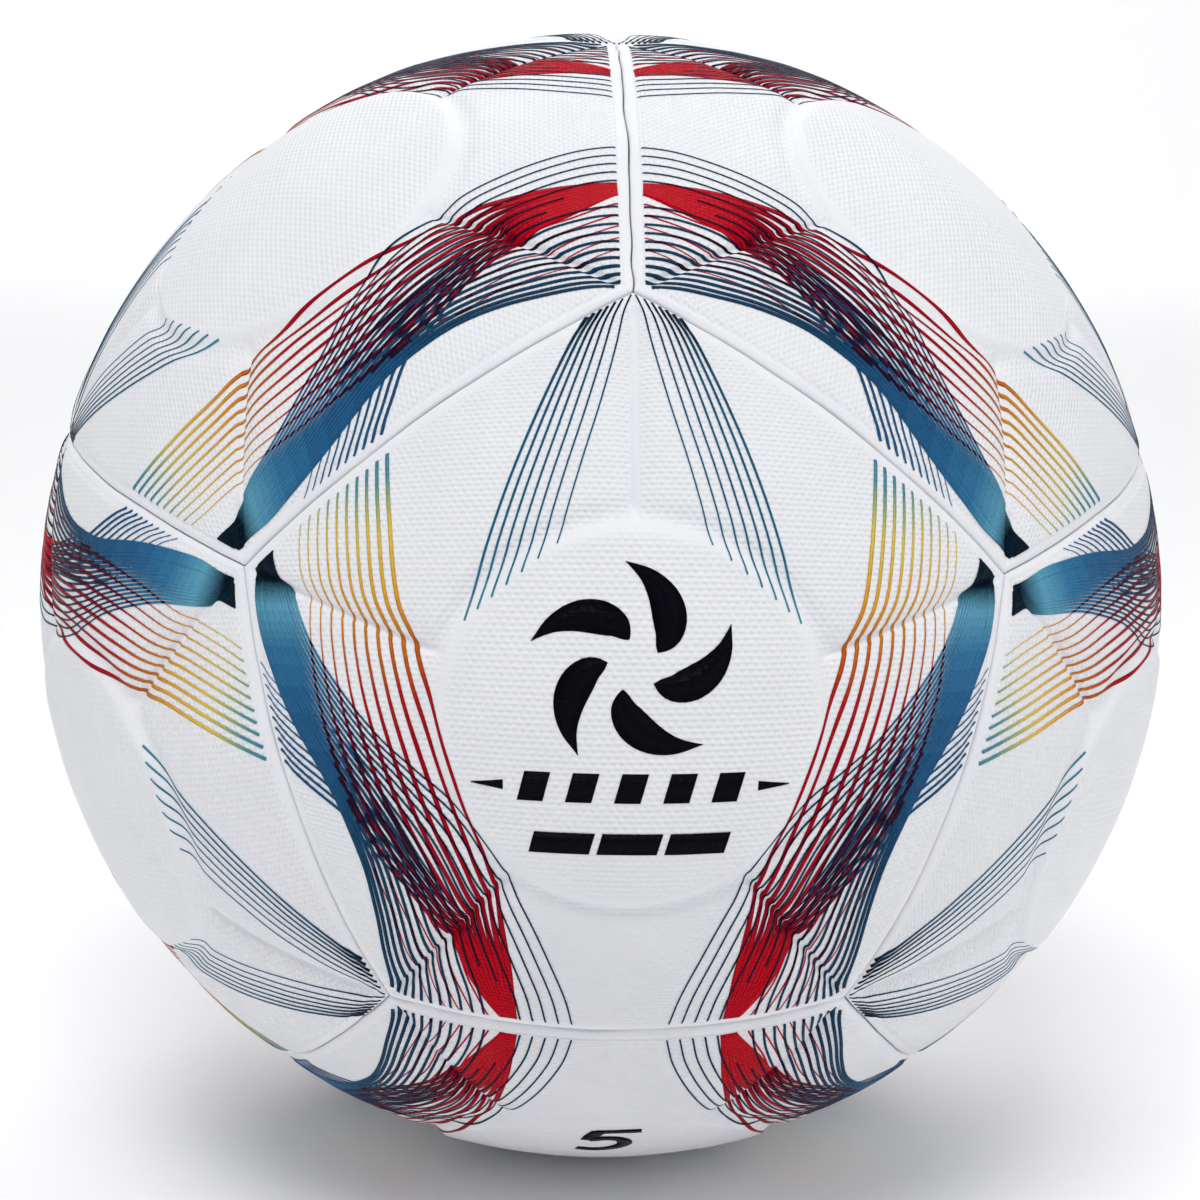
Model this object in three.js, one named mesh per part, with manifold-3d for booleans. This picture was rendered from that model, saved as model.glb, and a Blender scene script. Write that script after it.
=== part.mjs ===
// A size 5 football of twelve bonded pentagonal panels, in millimetres.
// Origin at the ball's centre, +Z up, -Y through the middle of the front panel, +Y out through the valve.
//
// From the outside in: twelve moulded cover skins, twelve foam backings, the seal that fills the seams,
// the wound carcass, the inflated bladder, and the valve that reaches from the bladder to the rear panel.
import * as THREE from "three";
import { mergeVertices } from "three/addons/utils/BufferGeometryUtils.js";
import Module from "manifold-3d";

const wasm = await Module();
wasm.setup();

// ---------------------------------------------------------------- driving dimensions
const FACE_RADIUS = 109.8; // the cover between the seams
const DISC_RADIUS = 31.5; // the raised disc in the middle of each panel, along the surface
const DISC_RISE = 0.6;
const SEAM_DEPTH = 1.6; // how far the rolled edges dip into a seam
const EDGE_ROLL = 4.5; // width of the rolled edge
const SEAM_GAP = 1.0; // between the side walls of two neighbouring skins
const SKIN = 1.3; // thickness of the cover
const FOAM = 3.4;
const CARCASS = 1.4;
const BLADDER = 1.0;
const SEAL = 0.4; // thickness of the seam seal
const FIT = 0.3; // clearance between pieces that touch

const VALVE_NECK = 4.0; // radius of the neck that shows in the rear panel
const VALVE_BORE = 2.5;
const VALVE_RECESS = 1.5; // from the crown of the disc down to the valve's rim
const VALVE_FLANGE = 12; // radius, bonded inside the bladder
const VALVE_STEM = 5; // radius of the stem inside the bladder
const VALVE_STEM_END = 84; // distance of the stem's inner end from the ball's centre
const NEEDLE = 0.6; // radius of the pilot hole that guides a pump needle

// Radii of the layers, each a clearance below the one outside it.
const SKIN_IN = FACE_RADIUS - SKIN;
const FOAM_OUT = SKIN_IN - FIT;
const FOAM_IN = FOAM_OUT - FOAM;
const CARCASS_OUT = FOAM_IN - FIT;
const CARCASS_IN = CARCASS_OUT - CARCASS;
const BLADDER_OUT = CARCASS_IN - FIT;
const BLADDER_IN = BLADDER_OUT - BLADDER;

// ---------------------------------------------------------------- the twelve faces
// Each panel has one seam across one of three axes at right angles. SLANT turns a panel's normal from that axis.
const GOLDEN = (1 + Math.sqrt(5)) / 2;
const SLANT = Math.atan(1 / GOLDEN);
const INRADIUS_ANGLE = SLANT; // from a panel's middle to the middle of a side
const HALF_SIDE_ANGLE = Math.asin(1 / (Math.sqrt(3) * GOLDEN)); // half of a side's arc
const COLUMNS_PER_SIDE = 4;

const acrossX = new THREE.Vector3(1, 0, 0);
const acrossUpperSeam = new THREE.Vector3(0, -Math.sin(SLANT), Math.cos(SLANT));
const acrossLowerSeam = new THREE.Vector3(0, -Math.cos(SLANT), -Math.sin(SLANT));

// [name, seam axis, its sign, lean axis, its sign]
const FACES = [
  ["front", acrossLowerSeam, 1, acrossUpperSeam, 1],
  ["bottom_front", acrossLowerSeam, 1, acrossUpperSeam, -1],
  ["top_rear", acrossLowerSeam, -1, acrossUpperSeam, 1],
  ["rear", acrossLowerSeam, -1, acrossUpperSeam, -1],
  ["upper_right_front", acrossUpperSeam, 1, acrossX, 1],
  ["upper_left_front", acrossUpperSeam, 1, acrossX, -1],
  ["lower_right_rear", acrossUpperSeam, -1, acrossX, 1],
  ["lower_left_rear", acrossUpperSeam, -1, acrossX, -1],
  ["lower_right_front", acrossX, 1, acrossLowerSeam, 1],
  ["upper_right_rear", acrossX, 1, acrossLowerSeam, -1],
  ["lower_left_front", acrossX, -1, acrossLowerSeam, 1],
  ["upper_left_rear", acrossX, -1, acrossLowerSeam, -1],
].map(([name, seam, seamSign, lean, leanSign]) => {
  const normal = new THREE.Vector3()
    .addScaledVector(seam, seamSign * Math.cos(SLANT))
    .addScaledVector(lean, leanSign * Math.sin(SLANT));
  const up = new THREE.Vector3()
    .addScaledVector(lean, leanSign * Math.cos(SLANT))
    .addScaledVector(seam, -seamSign * Math.sin(SLANT));
  return { name, normal, up, right: up.clone().cross(normal) };
});

// The flat pentagon that a face's sides make on the plane that touches the unit sphere at the face's middle.
// Its points are evenly spaced along each side's arc, so that neighbouring faces share them.
const pentagon = [];
for (let side = 0; side < 5; side++) {
  const middle = Math.PI / 2 + ((side + 0.5) * 2 * Math.PI) / 5;
  const inradius = Math.tan(INRADIUS_ANGLE);
  for (let step = 0; step < COLUMNS_PER_SIDE; step++) {
    const arc = HALF_SIDE_ANGLE * ((2 * step) / COLUMNS_PER_SIDE - 1);
    const along = Math.hypot(1, inradius) * Math.tan(arc);
    pentagon.push(
      new THREE.Vector2(inradius, along).rotateAround(new THREE.Vector2(), middle),
    );
  }
}

function onFace(face, flat, radius) {
  return face.normal
    .clone()
    .addScaledVector(face.right, flat.x)
    .addScaledVector(face.up, flat.y)
    .setLength(radius);
}

// A ring that follows the face's sides, a distance in from them, or at a share of the way out from the middle.
function insetRing(face, inset, radius) {
  const scale = Math.tan(INRADIUS_ANGLE - inset / FACE_RADIUS) / Math.tan(INRADIUS_ANGLE);
  return pentagon.map((p) => onFace(face, p.clone().multiplyScalar(scale), radius));
}

function sharedRing(face, share, radius) {
  return pentagon.map((p) => onFace(face, p.clone().multiplyScalar(share), radius));
}

function roundRing(face, distance, radius) {
  const reach = Math.tan(distance / FACE_RADIUS);
  return pentagon.map((p) => onFace(face, p.clone().setLength(reach), radius));
}

function pole(face, radius) {
  return [face.normal.clone().setLength(radius)];
}

// ---------------------------------------------------------------- meshes and solids
// A closed surface that starts at one pole, runs through rings of equal length and ends at another pole.
// A quad is always cut from its inner point j to its outer point i, so that facets of nested layers stay parallel.
function closedRows(rows) {
  const index = [];
  const spread = (row) => row[0].angleTo(rows[0][0]);
  let start = 0;
  for (let r = 0; r + 1 < rows.length; r++) {
    const next = start + rows[r].length;
    const widening = spread(rows[r + 1]) > spread(rows[r]);
    const count = Math.max(rows[r].length, rows[r + 1].length);
    for (let i = 0; i < count; i++) {
      const j = (i + 1) % count;
      const [a, b, c, d] = [start + i, start + j, next + i, next + j];
      if (rows[r].length === 1) {
        index.push(start, c, d);
      } else if (rows[r + 1].length === 1) {
        index.push(a, next, b);
      } else if (widening) {
        index.push(a, c, b, b, c, d);
      } else {
        index.push(a, c, d, a, d, b);
      }
    }
    start = next;
  }
  const geometry = new THREE.BufferGeometry().setFromPoints(rows.flat());
  geometry.setIndex(index);
  return geometry;
}

function toSolid(geometry) {
  const bare = geometry.clone();
  bare.deleteAttribute("normal");
  bare.deleteAttribute("uv");
  const merged = mergeVertices(bare, 1e-3);
  return new wasm.Manifold(
    new wasm.Mesh({
      numProp: 3,
      vertProperties: new Float32Array(merged.attributes.position.array),
      triVerts: new Uint32Array(merged.index.array),
    }),
  );
}

function toGeometry(solid) {
  const mesh = solid.getMesh();
  const geometry = new THREE.BufferGeometry();
  geometry.setAttribute("position", new THREE.BufferAttribute(mesh.vertProperties, 3));
  geometry.setIndex(new THREE.BufferAttribute(mesh.triVerts, 1));
  geometry.computeVertexNormals();
  return geometry;
}

// A round hole through everything on the valve's axis.
function valveHole(radius) {
  const length = 40;
  const cylinder = new THREE.CylinderGeometry(radius, radius, length, 24);
  cylinder.translate(0, BLADDER_OUT, 0);
  return toSolid(cylinder);
}

// ---------------------------------------------------------------- pieces
// A moulded skin: raised disc, rolled edge, and a side wall that reaches down beside the foam.
function skin(face) {
  const wall = SEAM_GAP / 2;
  const discShoulder = 1.5;
  const insideWall = wall + SKIN;
  const geometry = closedRows([
    pole(face, FACE_RADIUS + DISC_RISE),
    roundRing(face, DISC_RADIUS / 2, FACE_RADIUS + DISC_RISE),
    roundRing(face, DISC_RADIUS - discShoulder, FACE_RADIUS + DISC_RISE),
    roundRing(face, DISC_RADIUS + discShoulder, FACE_RADIUS),
    sharedRing(face, 0.72, FACE_RADIUS),
    insetRing(face, EDGE_ROLL, FACE_RADIUS),
    insetRing(face, wall + EDGE_ROLL / 4, FACE_RADIUS - SEAM_DEPTH / 3),
    insetRing(face, wall, FACE_RADIUS - SEAM_DEPTH),
    insetRing(face, wall, FOAM_IN),
    insetRing(face, insideWall, FOAM_IN),
    insetRing(face, insideWall, SKIN_IN),
    sharedRing(face, 0.66, SKIN_IN),
    sharedRing(face, 0.33, SKIN_IN),
    pole(face, SKIN_IN),
  ]);
  return face.name === "rear"
    ? toGeometry(toSolid(geometry).subtract(valveHole(VALVE_NECK + 2 * FIT)))
    : geometry;
}

function foamPad(face) {
  const edge = SEAM_GAP / 2 + SKIN + FIT;
  const geometry = closedRows([
    pole(face, FOAM_OUT),
    sharedRing(face, 0.33, FOAM_OUT),
    sharedRing(face, 0.66, FOAM_OUT),
    insetRing(face, edge, FOAM_OUT),
    insetRing(face, edge, FOAM_IN),
    sharedRing(face, 0.5, FOAM_IN),
    pole(face, FOAM_IN),
  ]);
  return face.name === "rear"
    ? toGeometry(toSolid(geometry).subtract(valveHole(VALVE_NECK + FIT)))
    : geometry;
}

// The whole sphere as flat facets, with corners on the given radius.
function ball(radius) {
  const points = [];
  for (const face of FACES) {
    const middle = pole(face, radius)[0];
    const half = sharedRing(face, 0.5, radius);
    const edge = insetRing(face, 0, radius);
    for (let i = 0; i < edge.length; i++) {
      const j = (i + 1) % edge.length;
      points.push(middle, half[i], half[j]);
      points.push(half[i], edge[i], half[j]);
      points.push(half[j], edge[i], edge[j]);
    }
  }
  return toSolid(new THREE.BufferGeometry().setFromPoints(points));
}

function hollowBall(outside, inside) {
  const shell = ball(outside).subtract(ball(inside));
  return toGeometry(shell.subtract(valveHole(VALVE_NECK + FIT)));
}

// The adhesive that stands in the seams: one thin wall under each of the thirty sides, joined where three meet.
function seamSeal() {
  const bottom = CARCASS_OUT + FIT;
  const top = FACE_RADIUS - SEAM_DEPTH - 2 * FIT;
  const pastTheCorner = SEAL / (2 * FACE_RADIUS);
  const walls = [];
  for (const [i, face] of FACES.entries()) {
    for (const other of FACES.slice(i + 1)) {
      const areNeighbours = face.normal.dot(other.normal) > 0.4;
      if (!areNeighbours) continue;
      const middle = face.normal.clone().add(other.normal).normalize();
      const across = face.normal.clone().sub(other.normal).normalize();
      const along = middle.clone().cross(across);
      const rows = [];
      for (let step = 0; step <= COLUMNS_PER_SIDE; step++) {
        const share = (2 * step) / COLUMNS_PER_SIDE - 1;
        const isEnd = Math.abs(share) === 1;
        const arc = share * (HALF_SIDE_ANGLE + (isEnd ? pastTheCorner : 0));
        const way = middle.clone().multiplyScalar(Math.cos(arc)).addScaledVector(along, Math.sin(arc));
        const corner = (radius, sign) =>
          way.clone().multiplyScalar(radius).addScaledVector(across, (sign * SEAL) / 2);
        rows.push([corner(bottom, 1), corner(top, 1), corner(top, -1), corner(bottom, -1)]);
      }
      walls.push(toSolid(boxedRows(rows)));
    }
  }
  return toGeometry(wasm.Manifold.union(walls));
}

// A bar through rows of four corners, closed at both ends.
function boxedRows(rows) {
  const index = [];
  for (let r = 0; r + 1 < rows.length; r++) {
    for (let i = 0; i < 4; i++) {
      const j = (i + 1) % 4;
      const [a, b, c, d] = [4 * r + i, 4 * r + j, 4 * r + 4 + i, 4 * r + 4 + j];
      index.push(a, c, b, b, c, d);
    }
  }
  const last = 4 * (rows.length - 1);
  index.push(0, 1, 2, 0, 2, 3);
  index.push(last, last + 2, last + 1, last, last + 3, last + 2);
  const geometry = new THREE.BufferGeometry().setFromPoints(rows.flat());
  geometry.setIndex(index);
  return geometry;
}

// A turned rubber piece: profile points are [distance from the valve's axis, distance from the ball's centre].
function turned(profile) {
  return new THREE.LatheGeometry(
    profile.map(([x, y]) => new THREE.Vector2(x, y)),
    24,
  );
}

const VALVE_RIM = FACE_RADIUS + DISC_RISE - VALVE_RECESS;

function valveHousing() {
  const underBladder = BLADDER_IN - 4 * FIT;
  const flangeDip = 1.3; // the flange follows the bladder's curve
  return turned([
    [VALVE_BORE, VALVE_STEM_END],
    [VALVE_STEM, VALVE_STEM_END],
    [VALVE_STEM, underBladder - 4],
    [VALVE_STEM + 2, underBladder - 2],
    [VALVE_FLANGE, underBladder - flangeDip - 1.2],
    [VALVE_FLANGE, underBladder - flangeDip],
    [VALVE_NECK, underBladder],
    [VALVE_NECK, VALVE_RIM],
    [VALVE_BORE, VALVE_RIM],
    [VALVE_BORE, VALVE_STEM_END],
  ]);
}

// The plug that seals round a pump needle, held in by its wider inner end.
function valveCore() {
  const radius = VALVE_BORE - FIT;
  const top = VALVE_RIM - 2 * FIT;
  const shoulder = VALVE_STEM_END - FIT;
  return turned([
    [0, shoulder - 2.2],
    [radius + 0.8, shoulder - 2.2],
    [radius + 1.4, shoulder - 1.4],
    [radius + 1.4, shoulder],
    [radius, shoulder],
    [radius, top],
    [2 * NEEDLE, top],
    [NEEDLE, top - 2.5],
    [NEEDLE, shoulder + 4],
    [0, shoulder + 3],
  ]);
}

// ---------------------------------------------------------------- assembly
const looks = {
  cover: new THREE.MeshStandardMaterial({ color: 0xf2f2f4, roughness: 0.42, metalness: 0 }),
  foam: new THREE.MeshStandardMaterial({ color: 0xe8e2d0, roughness: 0.9, metalness: 0 }),
  seal: new THREE.MeshStandardMaterial({ color: 0xd8d8d8, roughness: 0.6, metalness: 0 }),
  carcass: new THREE.MeshStandardMaterial({ color: 0xcfc6ae, roughness: 0.85, metalness: 0 }),
  bladder: new THREE.MeshStandardMaterial({ color: 0x1b1b1d, roughness: 0.55, metalness: 0 }),
  valve: new THREE.MeshStandardMaterial({ color: 0x2a2a2c, roughness: 0.5, metalness: 0 }),
};

const football = new THREE.Group();

function addPiece(name, geometry, material) {
  const mesh = new THREE.Mesh(geometry, material);
  mesh.name = name;
  football.add(mesh);
}

for (const face of FACES) {
  addPiece(`panel_${face.name}`, skin(face), looks.cover);
  addPiece(`foam_${face.name}`, foamPad(face), looks.foam);
}
addPiece("seam_seal", seamSeal(), looks.seal);
addPiece("carcass", hollowBall(CARCASS_OUT, CARCASS_IN), looks.carcass);
addPiece("bladder", hollowBall(BLADDER_OUT, BLADDER_IN), looks.bladder);
addPiece("valve_housing", valveHousing(), looks.valve);
addPiece("valve_core", valveCore(), looks.valve);

export default football;
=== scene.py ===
"""A size 5 football of twelve bonded panels with a printed line pattern, on a pale studio floor.

Lengths are in millimetres until a mesh is made, and then in metres. A panel is drawn on a flat plane over
its middle, BALL from the centre: x to its right, y towards its pointed top corner. A point of that plane
belongs to the point of the ball on the same line from the ball's centre.
"""

import math

import bpy
import numpy as np
from mathutils import Matrix, Vector


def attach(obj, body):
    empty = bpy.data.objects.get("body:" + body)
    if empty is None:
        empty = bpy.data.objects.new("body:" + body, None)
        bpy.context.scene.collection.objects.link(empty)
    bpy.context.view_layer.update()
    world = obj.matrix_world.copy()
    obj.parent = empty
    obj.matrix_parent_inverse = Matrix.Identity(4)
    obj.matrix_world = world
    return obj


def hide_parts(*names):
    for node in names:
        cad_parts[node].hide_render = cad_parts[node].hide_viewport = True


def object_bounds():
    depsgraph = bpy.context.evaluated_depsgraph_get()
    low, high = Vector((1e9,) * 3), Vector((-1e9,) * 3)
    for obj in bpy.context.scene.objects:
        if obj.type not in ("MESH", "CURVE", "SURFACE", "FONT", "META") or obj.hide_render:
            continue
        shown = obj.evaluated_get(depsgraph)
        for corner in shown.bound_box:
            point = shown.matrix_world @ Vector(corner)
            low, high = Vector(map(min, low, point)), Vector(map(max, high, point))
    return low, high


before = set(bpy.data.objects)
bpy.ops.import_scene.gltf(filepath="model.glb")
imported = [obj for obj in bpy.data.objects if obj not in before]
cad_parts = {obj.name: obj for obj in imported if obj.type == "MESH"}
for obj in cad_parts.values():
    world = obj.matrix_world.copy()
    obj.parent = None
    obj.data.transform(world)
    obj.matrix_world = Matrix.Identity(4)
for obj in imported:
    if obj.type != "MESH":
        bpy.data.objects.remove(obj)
cad_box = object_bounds()

MM = 0.001

# ---------------------------------------------------------------- sizes
BALL = 110.0  # radius that the flat plane of a panel lies at
COVER = 109.8  # radius of the cover where it has no relief
UNDERSIDE = 108.25  # radius of a skin's inner face, just over the foam
WALL_FOOT = 104.8  # radius that a skin's side wall reaches down to
SKIN_WALL = 1.3  # thickness of the side wall

DISC = 30.7  # radius of the raised disc, along the surface
DISC_RISE = 1.05
MOAT_DEPTH = 0.45  # of the hollow round the disc
GROOVE_DEPTH = 0.85
GROOVE_REACH = 2.7  # how far from its middle a groove has lost most of its depth
CHANNEL = 0.62  # half the width of the flat channel along the bottom of a groove
CHANNEL_DEPTH = 0.52
PILLOW = 0.55  # rise of the padded sectors between the grooves
EDGE_DROP = 0.75  # how deep a panel's edge rolls into the seam
EDGE_ROLL = 3.4  # how far from the seam the roll starts
CREASE = 1.75  # distance of the pressed line along a seam from that seam
CREASE_DEPTH = 0.16
SEAM_HALF_GAP = 0.14
WANDER = 0.16  # how far a seam strays from a straight line
HOLE = 4.6  # radius of the valve hole in the rear panel
COLUMNS_PER_SIDE = 104  # of a skin's mesh
KEEL = -0.12  # height of the lower edge of an ink strip, inside the skin

GOLDEN = (1 + math.sqrt(5)) / 2
SLANT = math.atan(1 / GOLDEN)
APOTHEM = BALL * math.tan(SLANT)  # of the flat pentagon
SIDE_HALF = APOTHEM * math.tan(math.pi / 5)
FLAT_TO_REAL = math.cos(SLANT) ** 2  # what a flat millimetre across a seam measures on the ball

RAYS = [math.pi / 2 + k * 2 * math.pi / 5 for k in range(5)]  # from a panel's middle to its corners
SIDES = [ray + math.pi / 5 for ray in RAYS]  # from a panel's middle to its sides


# ---------------------------------------------------------------- the twelve faces
def face_frames():
    """{name: (right, up, normal)} of each panel, from the axes that the six mirrored seams lie across."""
    across_x = Vector((1, 0, 0))
    across_upper = Vector((0, -math.sin(SLANT), math.cos(SLANT)))
    across_lower = Vector((0, -math.cos(SLANT), -math.sin(SLANT)))
    layout = {
        "front": (across_lower, across_upper),
        "bottom_front": (across_lower, -across_upper),
        "top_rear": (-across_lower, across_upper),
        "rear": (-across_lower, -across_upper),
        "upper_right_front": (across_upper, across_x),
        "upper_left_front": (across_upper, -across_x),
        "lower_right_rear": (-across_upper, across_x),
        "lower_left_rear": (-across_upper, -across_x),
        "lower_right_front": (across_x, across_lower),
        "upper_right_rear": (across_x, -across_lower),
        "lower_left_front": (-across_x, across_lower),
        "upper_left_rear": (-across_x, -across_lower),
    }
    frames = {}
    for name, (seam, lean) in layout.items():
        normal = seam * math.cos(SLANT) + lean * math.sin(SLANT)
        up = lean * math.cos(SLANT) - seam * math.sin(SLANT)
        frames[name] = (up.cross(normal), up, normal)
    return frames


FACES = face_frames()


def face_matrix(name):
    right, up, normal = FACES[name]
    return Matrix((right, up, normal)).transposed().to_4x4()


# ---------------------------------------------------------------- relief of a panel
def smooth_step(value, low, high):
    share = np.clip((value - low) / (high - low), 0, 1)
    return share * share * (3 - 2 * share)


def seam_distance(x, y):
    """Distance along the ball from a flat point to the nearest side of its panel."""
    return FLAT_TO_REAL * np.min([APOTHEM - x * math.cos(a) - y * math.sin(a) for a in SIDES], axis=0)


def ray_distance(x, y):
    """Distance from a flat point to the nearest ray between the panel's middle and a corner."""
    nearest = np.full(np.shape(x), 1e3)
    for angle in RAYS:
        along = x * math.cos(angle) + y * math.sin(angle)
        across = np.abs(y * math.cos(angle) - x * math.sin(angle))
        nearest = np.where(along > 0, np.minimum(nearest, across), nearest)
    return nearest


def unevenness(x, y):
    """The faint waves of a skin glued over foam, from a few fixed sine waves."""
    waves = np.zeros(np.shape(x))
    for k in range(9):
        angle = 2.4 * k
        length = 7 + 2.9 * k
        waves += np.sin((x * math.cos(angle) + y * math.sin(angle)) * 2 * math.pi / length + 1.7 * k)
    return 0.012 * waves


def relief(x, y):
    """Radius of the outer face of a skin over flat points."""
    from_middle = BALL * np.arctan(np.hypot(x, y) / BALL)
    to_seam = seam_distance(x, y)
    to_ray = ray_distance(x, y)
    beyond_disc = from_middle - DISC

    disc = DISC_RISE * (1 - smooth_step(beyond_disc, -0.8, 1.9))
    moat = -MOAT_DEPTH * np.exp(-(((beyond_disc - 2.9) / 1.6) ** 2))
    padded = smooth_step(beyond_disc, 0.5, 5)
    grooved = padded * smooth_step(to_seam, 0.6, 4.5)
    valley = -GROOVE_DEPTH * np.exp(-((to_ray / GROOVE_REACH) ** 2))
    channel = -CHANNEL_DEPTH * (1 - smooth_step(to_ray, CHANNEL - 0.35, CHANNEL + 0.5))
    pillow = PILLOW * (1 - np.exp(-to_ray / 6)) * (1 - np.exp(-np.clip(to_seam, 0, None) / 6))
    roll = -EDGE_DROP * np.clip(1 - to_seam / EDGE_ROLL, 0, None) ** 2.2
    crease = -CREASE_DEPTH * np.exp(-(((to_seam - CREASE) / 0.42) ** 2))
    raised = disc + moat + padded * pillow
    pressed = grooved * (valley + channel) + roll + crease
    return COVER + raised + pressed + unevenness(x, y)


def on_ball(x, y, radius):
    """Points in a panel's own frame, in metres, from flat points and radii."""
    points = np.stack([x, y, np.full(np.shape(x), BALL)], axis=-1)
    length = np.linalg.norm(points, axis=-1, keepdims=True)
    return points / length * np.expand_dims(radius, -1) * MM


# ---------------------------------------------------------------- meshes
def make_mesh(name, points, faces, tones=None):
    mesh = bpy.data.meshes.new(name)
    mesh.from_pydata(points.tolist(), [], faces)
    if tones is not None:
        mesh.polygons.foreach_set("material_index", tones)
    mesh.polygons.foreach_set("use_smooth", [True] * len(mesh.polygons))
    return mesh


def texture_strength(x, y):
    """How clearly the moulded texture shows: hardly on rolled edges, in channels and on disc shoulders."""
    beyond_disc = BALL * np.arctan(np.hypot(x, y) / BALL) - DISC
    to_ray = ray_distance(x, y)
    on_edge = 1 - smooth_step(seam_distance(x, y), 1.0, 2.6)
    in_channel = (1 - smooth_step(to_ray, CHANNEL, CHANNEL + 0.5)) * smooth_step(beyond_disc, 1, 3)
    on_shoulder = 0.75 * np.exp(-(((beyond_disc - 0.3) / 1.5) ** 2))
    return (1 - 0.85 * on_edge) * (1 - 0.95 * in_channel) * (1 - on_shoulder)


def store_panel_coordinates(mesh, x, y):
    """Keeps the flat coordinates in millimetres and the strength of the texture, for the materials."""
    values = np.stack([x, y, texture_strength(x, y)], axis=-1)
    attribute = mesh.attributes.new("panel_mm", "FLOAT_VECTOR", "POINT")
    attribute.data.foreach_set("vector", values.ravel())


def ring_columns():
    """Directions and flat pentagon radii of the columns, closer together at the corners."""
    points = []
    for side in SIDES:
        for step in range(COLUMNS_PER_SIDE):
            share = 2 * step / COLUMNS_PER_SIDE - 1
            along = SIDE_HALF * (0.17 * share + 0.83 * math.sin(share * math.pi / 2))
            points.append((APOTHEM * math.cos(side) - along * math.sin(side),
                           APOTHEM * math.sin(side) + along * math.cos(side)))
    points = np.array(points)
    radius = np.hypot(points[:, 0], points[:, 1])
    return points / radius[:, None], radius


def ring(columns, radius, inset):
    """A ring of flat points: round near the middle, a pentagon further out or at an inset from the sides."""
    directions, corners = columns
    if inset is None:
        squareness = smooth_step(radius, 12, 45)
        reach = radius * (1 - squareness) + (corners * radius / APOTHEM) * squareness
    else:
        reach = corners * (1 - inset / APOTHEM)
    return directions * reach[:, None]


def seam_wander():
    """How far each column's edge strays from a straight seam.

    The two panels at a seam stray the same way, so that the gap between them stays even. The upper sides of
    one panel meet the side ones of another, and the bottom side meets another bottom side, turned round.
    """
    share = 2 * np.arange(COLUMNS_PER_SIDE) / COLUMNS_PER_SIDE - 1
    away = 1 + share  # from the corner that a side and an upper side share, in half sides
    towards = 1 - share

    def stray(d):
        return WANDER * np.sin(math.pi * d / 2) * (np.sin(9.1 * d + 1) + 0.7 * np.sin(17 * d))

    turn = math.pi * share
    bottom = WANDER * (np.sin(3 * turn) + np.sin(5 * turn) + 0.7 * np.sin(8 * turn))
    return np.concatenate([stray(towards), -stray(away), bottom, -stray(towards), stray(away)])


def skin_mesh(name, has_hole):
    """A closed skin: the relief outside, a side wall down beside the foam, and a smooth inner face."""
    columns = ring_columns()
    count = len(columns[1])
    wander = seam_wander()
    rows = []

    def add(flat, radius):
        rows.append((flat, np.broadcast_to(radius, count).copy()))

    first = HOLE if has_hole else 0.6
    by_disc = np.arange(25, 37, 0.5)  # closer together over the disc's shoulder
    for radius in [*np.arange(first, 24.6, 0.95), *by_disc, *np.arange(37, APOTHEM - 6.5, 0.95)]:
        flat = ring(columns, radius, None)
        add(flat, relief(flat[:, 0], flat[:, 1]))
    edge = SEAM_HALF_GAP / FLAT_TO_REAL
    for inset in [6.2, 5.5, 4.8, 4.2, *np.arange(3.7, 1.0, -0.25), 0.8, 0.5, 0.25]:
        flat = ring(columns, 0, inset + edge + wander * (1 - inset / 6.5))
        add(flat, relief(flat[:, 0], flat[:, 1]))
    lip = ring(columns, 0, edge + wander)
    lip_radius = relief(lip[:, 0], lip[:, 1])
    add(lip, lip_radius - 0.2)
    add(lip, np.full(count, WALL_FOOT))
    inner = ring(columns, 0, edge + SKIN_WALL / FLAT_TO_REAL)
    add(inner, np.full(count, WALL_FOOT))
    add(inner, np.full(count, UNDERSIDE))
    for radius in [50, 36, 22, 12]:
        add(ring(columns, radius, None), np.full(count, UNDERSIDE))
    add(ring(columns, first, None), np.full(count, UNDERSIDE))

    flat = np.concatenate([row[0] for row in rows])
    radius = np.concatenate([row[1] for row in rows])
    points = on_ball(flat[:, 0], flat[:, 1], radius)
    faces = []
    for r in range(len(rows) - 1):
        faces += ring_quads(r * count, (r + 1) * count, count)
    last = (len(rows) - 1) * count
    if has_hole:
        faces += ring_quads(last, 0, count)
    else:
        faces.append(list(range(count)))
        faces.append(list(range(last + count - 1, last - 1, -1)))
    mesh = make_mesh(name, points, faces)
    store_panel_coordinates(mesh, flat[:, 0], flat[:, 1])
    return mesh


def ring_quads(start, following, count):
    """Quads between two rings of points, facing out when the second ring is the wider one on the outside."""
    quads = []
    for i in range(count):
        j = (i + 1) % count
        quads.append((start + i, following + i, following + j, start + j))
    return quads


# ---------------------------------------------------------------- print: curves
def spline(points, step=0.25):
    """Evenly spaced flat points along a smooth curve through the given ones."""
    points = np.array(points, dtype=float)
    padded = np.vstack([2 * points[0] - points[1], points, 2 * points[-1] - points[-2]])
    fine = []
    for a, b, c, d in zip(padded, padded[1:], padded[2:], padded[3:]):
        for t in np.arange(0, 1, 0.05):
            fine.append(0.5 * (2 * b + (c - a) * t + (2 * a - 5 * b + 4 * c - d) * t**2
                               + (3 * b - a - 3 * c + d) * t**3))
    fine.append(points[-1])
    fine = np.array(fine)
    length = np.concatenate([[0], np.cumsum(np.linalg.norm(np.diff(fine, axis=0), axis=1))])
    even = np.linspace(0, length[-1], max(4, round(length[-1] / step)))
    return np.stack([np.interp(even, length, fine[:, k]) for k in range(2)], axis=1)


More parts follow.
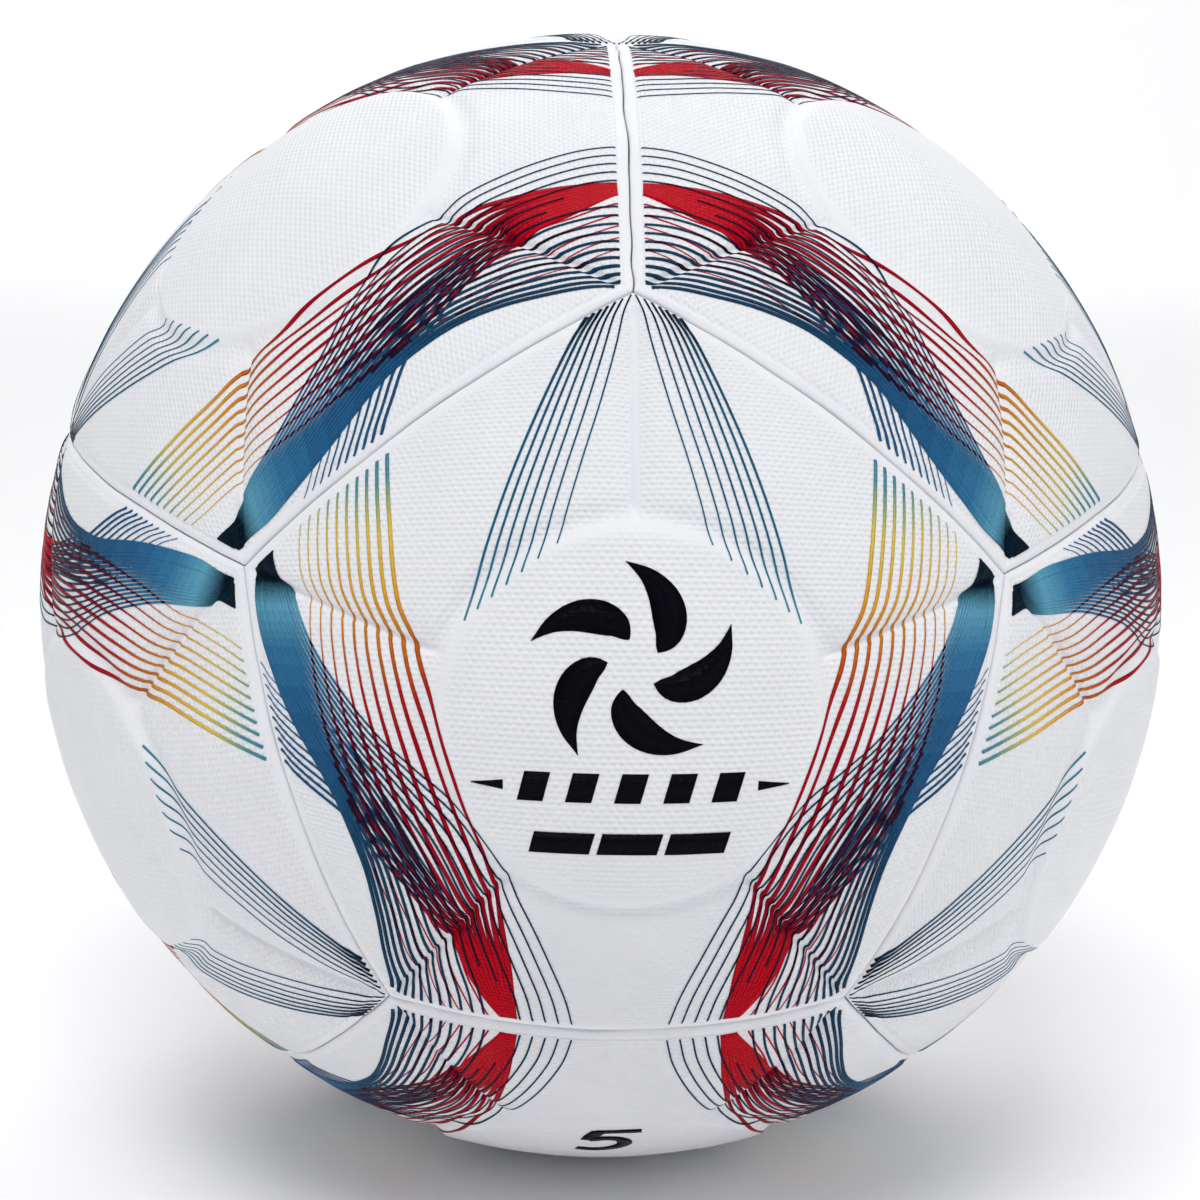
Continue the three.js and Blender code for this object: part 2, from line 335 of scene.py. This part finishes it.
def needed_points(centre, tones):
    """Which points a strip keeps: every third one, all where the relief bends, and where the ink changes."""
    number = np.arange(len(centre))
    by_disc = np.abs(np.hypot(centre[:, 0], centre[:, 1]) - DISC - 1.5) < 4
    by_groove = ray_distance(centre[:, 0], centre[:, 1]) < 3
    by_seam = seam_distance(centre[:, 0], centre[:, 1]) < 3
    kept = (number % 3 == 0) | (number == number[-1]) | by_groove | by_disc | by_seam
    kept[1:] |= np.diff(tones) != 0
    return kept


def between(guides, share):
    """The curve at a share of the way through a list of guide curves with matching points."""
    place = share * (len(guides) - 1)
    low = min(int(place), len(guides) - 2)
    mix = place - low
    return [(a[0] + (b[0] - a[0]) * mix, a[1] + (b[1] - a[1]) * mix)
            for a, b in zip(guides[low], guides[low + 1])]


class Print:
    """Collects ink strips. A strip is a flat ribbon just over the skin with a keel in it, so it is closed."""

    def __init__(self):
        self.flat = []
        self.lift = []
        self.faces = []
        self.tones = []
        self.smooth = []
        self.layers = 0

    def strip(self, centre, half_width, tones, layer, lean=0):
        """Adds a strip along flat points.

        half_width and tones hold one value for each point, or one for all. layer is the height over the skin.
        Each strip is a hair higher than the last, so that no two coincide. lean is the slant of the cut ends.
        """
        self.layers += 1
        height = layer + 0.0006 * (self.layers % 20)
        tones = np.broadcast_to(tones, len(centre))
        kept = needed_points(centre, tones)
        half_width = np.broadcast_to(half_width, len(centre))[kept]
        tones = tones[kept].tolist()
        centre = centre[kept]
        along = np.gradient(centre, axis=0)
        along /= np.linalg.norm(along, axis=1, keepdims=True)
        aside = np.stack([-along[:, 1], along[:, 0]], axis=1) + math.tan(lean) * along
        aside *= np.reshape(half_width, (-1, 1))
        start = len(self.flat)
        for point, side in zip(centre, aside):
            self.flat += [point + side, point, point - side, point]
            self.lift += [height, height, height, KEEL]
        for i in range(len(centre) - 1):
            a = start + 4 * i
            b = a + 4
            self.add((a + 1, b + 1, b, a), tones[i], True)
            self.add((a + 2, b + 2, b + 1, a + 1), tones[i], True)
            self.add((a + 3, b + 3, b + 2, a + 2), tones[i], False)
            self.add((a, b, b + 3, a + 3), tones[i], False)
        end = start + 4 * (len(centre) - 1)
        self.add((start, start + 3, start + 2, start + 1), tones[0], False)
        self.add((end, end + 1, end + 2, end + 3), tones[-1], False)

    def add(self, face, tone, is_smooth):
        self.faces.append(face)
        self.tones.append(tone)
        self.smooth.append(is_smooth)

    def mesh(self, name):
        flat = np.array(self.flat)
        lift = np.array(self.lift)
        points = on_ball(flat[:, 0], flat[:, 1], relief(flat[:, 0], flat[:, 1]) + lift)
        mesh = make_mesh(name, points, self.faces, self.tones)
        mesh.polygons.foreach_set("use_smooth", self.smooth)
        store_panel_coordinates(mesh, flat[:, 0], flat[:, 1])
        return mesh


# ---------------------------------------------------------------- print: colours
# Colours by height y on the panel.
WARM_STOPS = [
    (-50, (0.53, 0.0003, 0.010)),
    (-38, (0.34, 0.0005, 0.012)),
    (-4, (0.34, 0.0010, 0.010)),
    (3, (0.40, 0.012, 0.008)),
    (11, (0.52, 0.13, 0.012)),
    (20, (0.72, 0.34, 0.025)),
    (31, (0.72, 0.51, 0.08)),
    (36, (0.36, 0.42, 0.14)),
    (41, (0.08, 0.28, 0.30)),
    (48, (0.05, 0.22, 0.36)),
]
COOL_STOPS = [
    (-70, (0.006, 0.038, 0.090)),
    (-35, (0.008, 0.056, 0.130)),
    (-15, (0.013, 0.078, 0.190)),
    (0, (0.020, 0.115, 0.260)),
    (10, (0.034, 0.175, 0.340)),
    # partly painted highlight: the band's blue is lightened here to stand in for glints of light on the
    # glossy ink
    (18, (0.110, 0.350, 0.500)),
    (23, (0.003, 0.014, 0.028)),
    (32, (0.002, 0.008, 0.016)),
]
FAN_STOPS = [
    (15, (0.050, 0.27, 0.36)),
    (30, (0.006, 0.13, 0.23)),
    (60, (0.008, 0.085, 0.17)),
    (75, (0.003, 0.018, 0.045)),
    (84, (0.002, 0.010, 0.028)),
]
OVERLAP = (0.012, 0.004, 0.022)
RAMPS = {"warm": (WARM_STOPS, 30), "cool": (COOL_STOPS, 30), "fan": (FAN_STOPS, 8)}


def colours_at(ramp, y):
    stops = RAMPS[ramp][0]
    levels = [stop[0] for stop in stops]
    return np.stack([np.interp(y, levels, [stop[1][k] for stop in stops]) for k in range(3)], axis=1)


def tone_bounds(ramp):
    """The heights at which a ramp changes from one of its inks to the next, with equal steps of colour."""
    stops, count = RAMPS[ramp]
    y = np.linspace(stops[0][0], stops[-1][0], 500)
    brightness = colours_at(ramp, y) ** 0.45
    steps = np.linalg.norm(np.diff(brightness, axis=0), axis=1) + 0.0004
    change = np.concatenate([[0], np.cumsum(steps)])
    return np.interp(np.linspace(0, change[-1], count + 1), change, y)


def ramp_colours(ramp):
    """The plain inks that a ramp is printed in, from its lowest to its highest level. The cool ramp's light
    blue tones round y 18 also carry a painted highlight.
    """
    bounds = tone_bounds(ramp)
    return colours_at(ramp, (bounds[:-1] + bounds[1:]) / 2)


def tone_index(ramp, y):
    """Material slot for each height y, within the print's list of inks."""
    count = RAMPS[ramp][1]
    index = np.clip(np.searchsorted(tone_bounds(ramp), y) - 1, 0, count - 1)
    before = 0
    for name, (_, others) in RAMPS.items():
        if name == ramp:
            break
        before += others
    return index + before


OVERLAP_TONE = sum(count for _, count in RAMPS.values())


# ---------------------------------------------------------------- print: the pattern, drawn for the left half
def keep_inside(points, margin=2.1):
    """Cuts a curve where it comes closer to a seam than the unprinted margin."""
    inside = seam_distance(points[:, 0], points[:, 1]) > margin
    return points[inside]


def fan_lines():
    """Seven thin lines from the top corner down to the disc. They start right at the seam."""
    inner = [(-0.2, 83.5), (-2, 77.5), (-3.5, 68.3), (-6.1, 55.8), (-9.1, 43.9), (-12.7, 29.1)]
    outer = [(-9.2, 76.4), (-12.3, 68.5), (-16.5, 56), (-20.3, 44.1), (-23.4, 33.2), (-27.7, 16.2)]
    lines = []
    for k in range(7):
        centre = keep_inside(spline(between([inner, outer], (k / 6) ** 0.9)), 0.45)
        down = np.linspace(0, 1, len(centre))
        half = (0.18 + 0.018 * k) * (1 - 0.3 * down) + 0.03 * k * np.exp(-down / 0.08)
        lines.append((centre, half))
    return lines


def cool_lines():
    """The blue ribbon: one band at the left corner that opens into a family of lines at the bottom side."""
    left = [(-76.5, 28.5), (-74.6, 23.5), (-72.5, 15), (-67.5, 5), (-62.5, -3.2), (-55, -13.5),
            (-51.5, -20), (-48, -30), (-46.75, -40), (-46.75, -50), (-47, -60), (-48.3, -66)]
    right = [(-71.5, 31.8), (-69, 24), (-64.5, 20.3), (-57.5, 10.2), (-50, 2), (-42.5, -5),
             (-35, -10.5), (-26.2, -18.5), (-20.2, -29), (-15.5, -40), (-11, -55), (-9.3, -66)]
    lines = []
    count = 18
    for k in range(count):
        share = (k / (count - 1)) ** 1.15
        centre = keep_inside(spline(between([left, right], share)))
        down = np.linspace(0, 1, len(centre))
        wide = 0.55 * (1 - share) + 0.30 * share
        narrow = 0.26 * (1 - share) ** 1.3 + 0.17
        half = wide + (narrow - wide) * smooth_step(down, 0.06, 0.46)
        half += 0.13 * (1 - share) ** 4 * np.exp(-(((down - 0.5) / 0.14) ** 2))
        lines.append((centre, half))
    return lines


def warm_lines():
    """Ten lines from the upper left side that turn from blue through yellow to red and close into a blade."""
    right = [(-46.5, 51), (-43.2, 34), (-40.3, 20), (-37, 12.5), (-32.5, 0), (-27.5, -15), (-22.9, -30),
             (-21.3, -45), (-20.8, -55), (-20.6, -66)]
    left = [(-64, 39), (-63.5, 31), (-62, 24), (-59.3, 17), (-56, 1), (-49, -18), (-40, -32),
            (-31.2, -45), (-27.8, -55), (-23.2, -66)]
    lines = []
    count = 10
    for k in range(count):
        share = k / (count - 1)
        centre = keep_inside(spline(between([right, left], share)))
        down = np.linspace(0, 1, len(centre))
        upper = 0.30 * (1 - share) + 0.12
        mesh_half = 0.33 + 0.09 * min(1, 3 * share)
        blade_half = 0.62
        half = upper + (mesh_half - upper) * smooth_step(down, 0.3, 0.5)
        half += (blade_half - mesh_half) * smooth_step(down, 0.64, 0.84)
        half *= 1 - 0.5 * smooth_step(down, 0.86, 1)
        lines.append((centre, half))
    return lines


def stray_lines():
    """Five thin red lines that leave the blade's outer edge and run down between the blue ones."""
    first = [(-46, -27), (-45, -33), (-43, -40), (-41.5, -50), (-39.5, -60), (-38.4, -66)]
    last = [(-33, -40), (-31.5, -44), (-30.3, -48), (-29.2, -54), (-27.6, -60), (-26.0, -66)]
    lines = []
    for k in range(5):
        centre = keep_inside(spline(between([first, last], k / 4)))
        lines.append((centre, np.full(len(centre), 0.13 + 0.02 * k)))
    return lines


def side_lines():
    """Ten lines from the lower left side that pass under the blue band's neck and run on to the red blade."""
    low = [(-67.6, -11.2), (-59.5, -15.8), (-51.3, -20.3), (-46.6, -25.6),
           (-41.7, -30.6), (-36, -37), (-32.5, -43)]
    high = [(-73.3, 7.7), (-67.5, 3.2), (-58, -1.5), (-49.5, -7),
            (-42.5, -15.5), (-34.5, -29), (-26, -42)]
    lines = []
    count = 10
    for k in range(count):
        share = k / (count - 1)
        centre = keep_inside(spline(between([low, high], share)), 1.15)
        down = np.linspace(0, 1, len(centre))
        past_neck = smooth_step(down, 0.3, 0.5)
        half = (0.34 - 0.24 * share) * (1 - past_neck) + 0.26 * past_neck
        half *= 1 - 0.6 * smooth_step(down, 0.68, 0.95)
        lines.append((centre, half))
    return lines


def mirrored(points):
    return points[::-1] * np.array([-1, 1])


def near_lines(points, lines):
    """Whether each point lies on one of the lines or right beside it."""
    hit = np.zeros(len(points), dtype=bool)
    for centre, half in lines:
        gap = np.linalg.norm(points[:, None] - centre[None], axis=2)
        hit |= gap.min(axis=1) < 1.2 * half[gap.argmin(axis=1)] + 0.15
    return hit


# ---------------------------------------------------------------- print: the badge and the size numeral
def draw_badge():
    """A plain badge for the front disc: five curved blades in a ring over two rows of slanted bars."""
    ink = Print()
    layer = 0.075
    lean = math.radians(14)
    middle = np.array([0, 9.5])
    for k in range(5):
        turn = math.pi / 2 + k * 2 * math.pi / 5
        centre = []
        for step in range(6):
            share = step / 5
            angle = turn + 0.2 + 1.15 * share
            reach = 4.2 + 12.6 * share ** 0.9
            centre.append(middle + reach * np.array([math.cos(angle), math.sin(angle)]))
        centre = spline(centre)
        along = np.linspace(0, 1, len(centre))
        half = 2.7 * np.sin(math.pi * along ** 0.7) ** 1.1 + 0.05
        ink.strip(centre, half, 0, layer)
    for k in range(5):
        x = -15.6 + 7.8 * k
        bar = spline([(x - 2.1, -10.4), (x + 2.1, -10.4)])
        ink.strip(bar, 2.5, 0, layer, lean)
    for side in (-1, 1):
        dash = spline([(side * 20.6, -10.4), (side * 26, -10.4)])
        ink.strip(dash, np.linspace(0.85, 0.06, len(dash)), 0, layer)
    for start, end in [(-16, -6.1), (-4.9, 4.9), (6.1, 16)]:
        bar = spline([(start, -20.2), (end, -20.2)])
        ink.strip(bar, 1.9, 0, layer, lean)
    return ink


def draw_size_numeral():
    """The ball's size, a slanted 5, printed upside down towards the panel's lower side."""
    ink = Print()
    strokes = [
        ([(-2.6, 6.4), (1.4, 6.5), (5.8, 6.7)], 1.1),
        ([(-2.0, 6.6), (-3.2, 3.6), (-3.8, 0.6)], 1.45),
        ([(-3.8, 1.0), (-0.5, 2.1), (2.4, 1.0), (3.0, -2.2), (1.0, -5.4), (-2.4, -6.8), (-5.6, -6.3)], 1.4),
    ]
    for points, half in strokes:
        centre = spline([(-x, -20 - y) for x, y in points])
        ink.strip(centre, half, 0, 0.075)
    return ink


def outside_blade(points):
    """Cuts a blue line where it runs into the solid lower part of the red blade."""
    x, y = points[:, 0], points[:, 1]
    left = np.interp(y, [-66, -55, -49], [-23.2, -27, -28.5])
    right = np.interp(y, [-66, -49], [-20.2, -20.6])
    buried = (y < -48 - 1.2 * (x + 28)) & (y < -44) & (x > left) & (x < right)
    return points[: np.argmax(buried)] if buried.any() else points


def draw_pattern():
    """The whole pattern of a panel: each family of lines and its mirror image.

    A family is given by its ramp, its layer, its lines, the lines that it overprints, and how many
    millimetres its lines differ by in where they change tone.
    """
    ink = Print()
    warm = warm_lines() + stray_lines()
    families = [
        ("warm", 0.065, warm, [], 3),
        ("cool", 0.080, side_lines(), warm, 0),
        ("cool", 0.095, cool_lines(), warm, 0),
        ("fan", 0.075, fan_lines(), [], 4),
    ]
    for ramp, layer, lines, under, spread in families:
        for number, (centre, half) in enumerate(lines):
            level = centre[:, 1] + spread * (number * 0.618 % 1 - 0.5)
            if under:
                level -= 30 * smooth_step(centre[:, 0], -54, -42)  # thin blue lines are darker than the band
            tones = tone_index(ramp, level)
            if under:
                centre = outside_blade(centre)
                half = half[: len(centre)]
                tones = np.where(near_lines(centre, under), OVERLAP_TONE, tones[: len(centre)])
            ink.strip(centre, half, tones, layer)
            ink.strip(mirrored(centre), half[::-1], tones[::-1], layer)
    return ink


# ---------------------------------------------------------------- materials
def new_material(name, colour, roughness):
    material = bpy.data.materials.new(name)
    material.use_nodes = True
    shader = material.node_tree.nodes["Principled BSDF"]
    shader.inputs["Base Color"].default_value = (*colour, 1)
    shader.inputs["Roughness"].default_value = roughness
    return material, material.node_tree, shader


def link(tree, source, target):
    tree.links.new(source, target)


def add_node(tree, kind, **values):
    """A node with its properties and, by their socket names, its constant inputs set."""
    node = tree.nodes.new(kind)
    for key, value in values.items():
        if hasattr(node, key):
            setattr(node, key, value)
        else:
            node.inputs[key.replace("_", " ")].default_value = value
    return node


def cosine_wave(tree, value, length):
    """cos(2 pi value / length)"""
    scaled = add_node(tree, "ShaderNodeMath", operation="MULTIPLY")
    scaled.inputs[1].default_value = 2 * math.pi / length
    link(tree, value, scaled.inputs[0])
    wave = add_node(tree, "ShaderNodeMath", operation="COSINE")
    link(tree, scaled.outputs[0], wave.inputs[0])
    return wave.outputs[0]


def dimple_bump(tree, shader, distance):
    """The cover's moulded texture: ridges across the panel, staggered scales along them, and a fine grain."""
    place = add_node(tree, "ShaderNodeAttribute", attribute_name="panel_mm")
    parts = add_node(tree, "ShaderNodeSeparateXYZ")
    link(tree, place.outputs["Vector"], parts.inputs["Vector"])
    scales = add_node(tree, "ShaderNodeMath", operation="MULTIPLY")
    link(tree, cosine_wave(tree, parts.outputs["X"], 1.5), scales.inputs[0])
    link(tree, cosine_wave(tree, parts.outputs["Y"], 2.0), scales.inputs[1])
    ridges = cosine_wave(tree, parts.outputs["Y"], 1.0)
    height = add_node(tree, "ShaderNodeMath", operation="MULTIPLY_ADD")
    link(tree, scales.outputs[0], height.inputs[0])
    height.inputs[1].default_value = 1.3
    link(tree, ridges, height.inputs[2])
    moulded = add_node(tree, "ShaderNodeBump", Distance=distance * MM)
    link(tree, height.outputs[0], moulded.inputs["Height"])
    link(tree, parts.outputs["Z"], moulded.inputs["Strength"])
    grain = add_node(tree, "ShaderNodeTexNoise", Scale=2.6, Detail=2.0)
    link(tree, place.outputs["Vector"], grain.inputs["Vector"])
    fine = add_node(tree, "ShaderNodeBump", Strength=0.3, Distance=0.05 * MM)
    link(tree, grain.outputs["Fac"], fine.inputs["Height"])
    link(tree, moulded.outputs["Normal"], fine.inputs["Normal"])
    link(tree, fine.outputs["Normal"], shader.inputs["Normal"])
    return place


def varied_roughness(tree, shader, place, low, high, scale):
    """Lets the roughness drift between two values over the panel."""
    noise = add_node(tree, "ShaderNodeTexNoise", Scale=scale, Detail=3.0)
    link(tree, place.outputs["Vector"], noise.inputs["Vector"])
    spread = add_node(tree, "ShaderNodeMapRange", From_Min=0.3, From_Max=0.7, To_Min=low, To_Max=high)
    link(tree, noise.outputs["Fac"], spread.inputs["Value"])
    link(tree, spread.outputs["Result"], shader.inputs["Roughness"])


def cover_material():
    """White satin polyurethane, faintly mottled."""
    material, tree, shader = new_material("cover_white", (0.84, 0.84, 0.855), 0.4)
    shader.inputs["Specular IOR Level"].default_value = 0.28
    place = dimple_bump(tree, shader, 0.05)
    varied_roughness(tree, shader, place, 0.5, 0.62, 0.15)
    clouds = add_node(tree, "ShaderNodeTexNoise", Scale=0.05, Detail=4.0)
    link(tree, place.outputs["Vector"], clouds.inputs["Vector"])
    tint = add_node(tree, "ShaderNodeValToRGB")
    tint.color_ramp.elements[0].position = 0.3
    tint.color_ramp.elements[0].color = (0.80, 0.808, 0.84, 1)
    tint.color_ramp.elements[1].position = 0.7
    tint.color_ramp.elements[1].color = (0.835, 0.84, 0.865, 1)
    link(tree, clouds.outputs["Fac"], tint.inputs["Fac"])
    link(tree, tint.outputs["Color"], shader.inputs["Base Color"])
    return material


def ink_material(name, colour):
    """A thin satin ink that keeps some of the texture of the skin under it."""
    material, tree, shader = new_material(name, colour, 0.3)
    shader.inputs["Specular IOR Level"].default_value = 0.045
    place = dimple_bump(tree, shader, 0.025)
    varied_roughness(tree, shader, place, 0.38, 0.52, 0.4)
    return material


def ink_materials():
    materials = []
    for ramp in RAMPS:
        for index, colour in enumerate(ramp_colours(ramp)):
            materials.append(ink_material(f"ink_{ramp}_{index}", colour))
    materials.append(ink_material("ink_overlap", OVERLAP))
    return materials


def inner_material(name, colour, roughness, scale, distance):
    """A plain inner layer with a fine uneven surface."""
    material, tree, shader = new_material(name, colour, roughness)
    place = add_node(tree, "ShaderNodeTexCoord")
    noise = add_node(tree, "ShaderNodeTexNoise", Scale=scale, Detail=4.0)
    link(tree, place.outputs["Object"], noise.inputs["Vector"])
    bump = add_node(tree, "ShaderNodeBump", Strength=0.6, Distance=distance * MM)
    link(tree, noise.outputs["Fac"], bump.inputs["Height"])
    link(tree, bump.outputs["Normal"], shader.inputs["Normal"])
    return material


# ---------------------------------------------------------------- pieces
def add_object(name, mesh, materials, matrix):
    """A piece from a copy of the mesh that is turned into its place, so that its box is a tight one."""
    placed = mesh.copy()
    placed.transform(matrix)
    for material in materials:
        placed.materials.append(material)
    piece = bpy.data.objects.new(name, placed)
    bpy.context.scene.collection.objects.link(piece)
    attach(piece, "root")
    return piece


def build_cover():
    plain = skin_mesh("skin", False)
    with_hole = skin_mesh("skin_with_hole", True)
    pattern = draw_pattern().mesh("print")
    white = cover_material()
    inks = ink_materials()
    for name in FACES:
        matrix = face_matrix(name)
        skin = add_object(f"skin_{name}", with_hole if name == "rear" else plain, [white], matrix)
        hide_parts(f"panel_{name}")
        add_object(f"print_{name}", pattern, inks, matrix)
    black = ink_material("ink_black", (0.0015, 0.0015, 0.004))
    add_object("badge_front", draw_badge().mesh("badge"), [black], face_matrix("front"))
    numeral = draw_size_numeral().mesh("size_numeral")
    add_object("size_numeral", numeral, [black], face_matrix("bottom_front"))


def finish_inner_nodes():
    looks = {
        "foam": inner_material("foam_cells", (0.72, 0.66, 0.50), 0.9, 900, 0.2),
        "seam_seal": inner_material("seal_adhesive", (0.40, 0.40, 0.41), 0.6, 300, 0.2),
        "carcass": inner_material("wound_yarn", (0.62, 0.56, 0.42), 0.85, 500, 0.3),
        "bladder": inner_material("butyl", (0.02, 0.02, 0.022), 0.5, 200, 0.1),
        "valve": inner_material("valve_rubber", (0.012, 0.012, 0.014), 0.45, 700, 0.05),
    }
    for name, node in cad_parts.items():
        for start, material in looks.items():
            if name.startswith(start):
                node.data.materials.clear()
                node.data.materials.append(material)


# ---------------------------------------------------------------- studio
def build_floor():
    """A pale floor that curves up into a backdrop far behind the ball."""
    lowest = cad_box[0][2]  # where the ball stands
    steps = [(-18, 0.0), (3, 0.0)]
    for k in range(1, 13):
        angle = k / 12 * math.pi / 2
        steps.append((3 + 2 * math.sin(angle), 2 * (1 - math.cos(angle))))
    steps.append((5, 6))
    points = [(x, y, lowest + z) for y, z in steps for x in (-18, 18)]
    faces = [(2 * k, 2 * k + 1, 2 * k + 3, 2 * k + 2) for k in range(len(steps) - 1)]
    mesh = make_mesh("floor", np.array(points), faces)
    floor = bpy.data.objects.new("floor", mesh)
    bpy.context.scene.collection.objects.link(floor)
    material, _, _ = new_material("floor", (0.97, 0.97, 0.975), 0.8)
    mesh.materials.append(material)


def add_lamp(name, place, size, power, aim=(0, 0, 0)):
    data = bpy.data.lights.new(name, "AREA")
    data.shape = "RECTANGLE"
    data.size, data.size_y = size
    data.energy = power
    lamp = bpy.data.objects.new(name, data)
    bpy.context.scene.collection.objects.link(lamp)
    lamp.location = place
    lamp.rotation_euler = (Vector(aim) - Vector(place)).to_track_quat("-Z", "Y").to_euler()


def build_lights():
    world = bpy.data.worlds.new("studio")
    bpy.context.scene.world = world
    world.use_nodes = True
    background = world.node_tree.nodes["Background"]
    background.inputs["Color"].default_value = (0.97, 0.98, 1.0, 1)
    background.inputs["Strength"].default_value = 0.34
    add_lamp("overhead", (-0.2, -0.8, 1.5), (0.9, 0.7), 15.5)
    add_lamp("left", (-1.3, -0.45, 0.75), (0.4, 1.2), 1.8)
    add_lamp("right", (1.3, -0.45, 0.75), (0.4, 1.2), 5)
    add_lamp("back", (0, 1.3, 1.3), (1.6, 0.6), 1.3)
    add_lamp("backdrop", (0, 3.2, 4.5), (5, 1.5), 140, (0, 5, 1))


def build_camera():
    """Looks at the ball's centre from a little left and above, with a slight roll."""
    azimuth = math.radians(-2.821)
    elevation = math.radians(10.753)
    roll = math.radians(1.105)
    distance = 0.4895
    back = Vector((math.sin(azimuth) * math.cos(elevation),
                   -math.cos(azimuth) * math.cos(elevation),
                   math.sin(elevation)))
    data = bpy.data.cameras.new("camera")
    data.sensor_width = 36
    data.lens = 72.73
    data.shift_x = -0.00075
    data.shift_y = -0.0055
    camera = bpy.data.objects.new("camera", data)
    bpy.context.scene.collection.objects.link(camera)
    level = back.to_track_quat("Z", "Y").to_matrix()
    turned = level @ Matrix.Rotation(roll, 3, "Z")
    camera.matrix_world = Matrix.Translation(back * distance) @ turned.to_4x4()
    bpy.context.scene.camera = camera


def main():
    build_cover()
    finish_inner_nodes()
    build_floor()
    build_lights()
    build_camera()
    bpy.context.scene.view_settings.view_transform = "Standard"


main()
